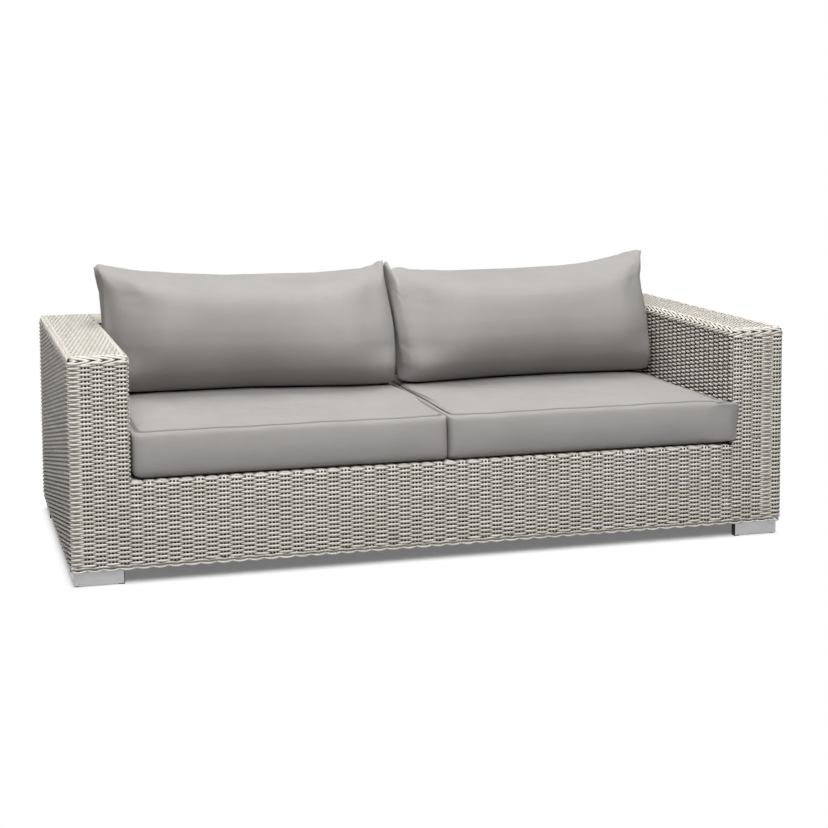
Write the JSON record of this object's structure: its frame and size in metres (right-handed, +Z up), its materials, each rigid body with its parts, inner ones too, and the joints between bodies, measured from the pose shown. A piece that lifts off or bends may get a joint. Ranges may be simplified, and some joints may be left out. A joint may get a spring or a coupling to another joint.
{
  "type": "rattan garden sofa",
  "caption": "Square-arm garden sofa woven in pale grey strand over an aluminium frame, with loose boxed seat cushions and pillow back cushions.",
  "frame": {"origin": "on the floor, under the centre of the sofa's outline", "axes": "+X to the sofa's right as seen from the front, +Y from the front to the back, +Z up"},
  "size_m": [2.1, 1, 0.8063],
  "materials": {
    "woven_strand": "matte",
    "frame_aluminium": "satin",
    "foot_aluminium": "satin",
    "glide_plastic": "matte",
    "cushion_fabric": "matte"
  },
  "bodies": {
    "sofa_frame": {"apron_bottom_rail": "frame_aluminium", "apron_middle_post": "frame_aluminium", "back_bottom_rail": "frame_aluminium", "back_front_post": "frame_aluminium", "back_inner_panel": "woven_strand", "back_outer_panel": "woven_strand", "back_rear_post": "frame_aluminium", "back_top_front_rail": "frame_aluminium", "back_top_panel": "woven_strand", "back_top_rear_rail": "frame_aluminium", "front_apron_panel": "woven_strand", "left_arm_bottom_rail": "frame_aluminium", "left_arm_front_hoop": "frame_aluminium", "left_arm_front_panel": "woven_strand", "left_arm_inner_panel": "woven_strand", "left_arm_middle_post": "frame_aluminium", "left_arm_rear_hoop": "frame_aluminium", "left_arm_top_inner_rail": "frame_aluminium", "left_arm_top_outer_rail": "frame_aluminium", "left_arm_top_panel": "woven_strand", "left_front_foot": "foot_aluminium", "left_front_foot_inner_cap": "glide_plastic", "left_front_foot_side_cap": "glide_plastic", "left_outer_side_panel": "woven_strand", "left_rear_foot": "foot_aluminium", "left_rear_foot_inner_cap": "glide_plastic", "left_rear_foot_side_cap": "glide_plastic", "left_seat_bearer": "frame_aluminium", "left_seat_corner_post": "frame_aluminium", "left_seat_side_rail": "frame_aluminium", "middle_seat_bearer": "frame_aluminium", "right_arm_bottom_rail": "frame_aluminium", "right_arm_front_hoop": "frame_aluminium", "right_arm_front_panel": "woven_strand", "right_arm_inner_panel": "woven_strand", "right_arm_middle_post": "frame_aluminium", "right_arm_rear_hoop": "frame_aluminium", "right_arm_top_inner_rail": "frame_aluminium", "right_arm_top_outer_rail": "frame_aluminium", "right_arm_top_panel": "woven_strand", "right_front_foot": "foot_aluminium", "right_front_foot_inner_cap": "glide_plastic", "right_front_foot_side_cap": "glide_plastic", "right_outer_side_panel": "woven_strand", "right_rear_foot": "foot_aluminium", "right_rear_foot_inner_cap": "glide_plastic", "right_rear_foot_side_cap": "glide_plastic", "right_seat_bearer": "frame_aluminium", "right_seat_corner_post": "frame_aluminium", "right_seat_side_rail": "frame_aluminium", "seat_deck_panel": "woven_strand", "seat_front_rail": "frame_aluminium", "seat_rear_rail": "frame_aluminium"},
    "left_back_cushion": {"left_back_cushion": "cushion_fabric"},
    "left_seat_cushion": {"left_seat_cushion": "cushion_fabric"},
    "right_back_cushion": {"right_back_cushion": "cushion_fabric"},
    "right_seat_cushion": {"right_seat_cushion": "cushion_fabric"}
  },
  "joints": [
    {"name": "left_seat_cushion_lift", "type": "slide", "parent": "sofa_frame", "child": "left_seat_cushion", "axis": [0, 0, 1], "range_m": [0, 0.36]},
    {"name": "right_seat_cushion_lift", "type": "slide", "parent": "sofa_frame", "child": "right_seat_cushion", "axis": [0, 0, 1], "range_m": [0, 0.36]},
    {"name": "left_back_cushion_lift", "type": "slide", "parent": "left_seat_cushion", "child": "left_back_cushion", "axis": [0, 0, 1], "range_m": [0, 0.25]},
    {"name": "right_back_cushion_lift", "type": "slide", "parent": "right_seat_cushion", "child": "right_back_cushion", "axis": [0, 0, 1], "range_m": [0, 0.25]}
  ]
}
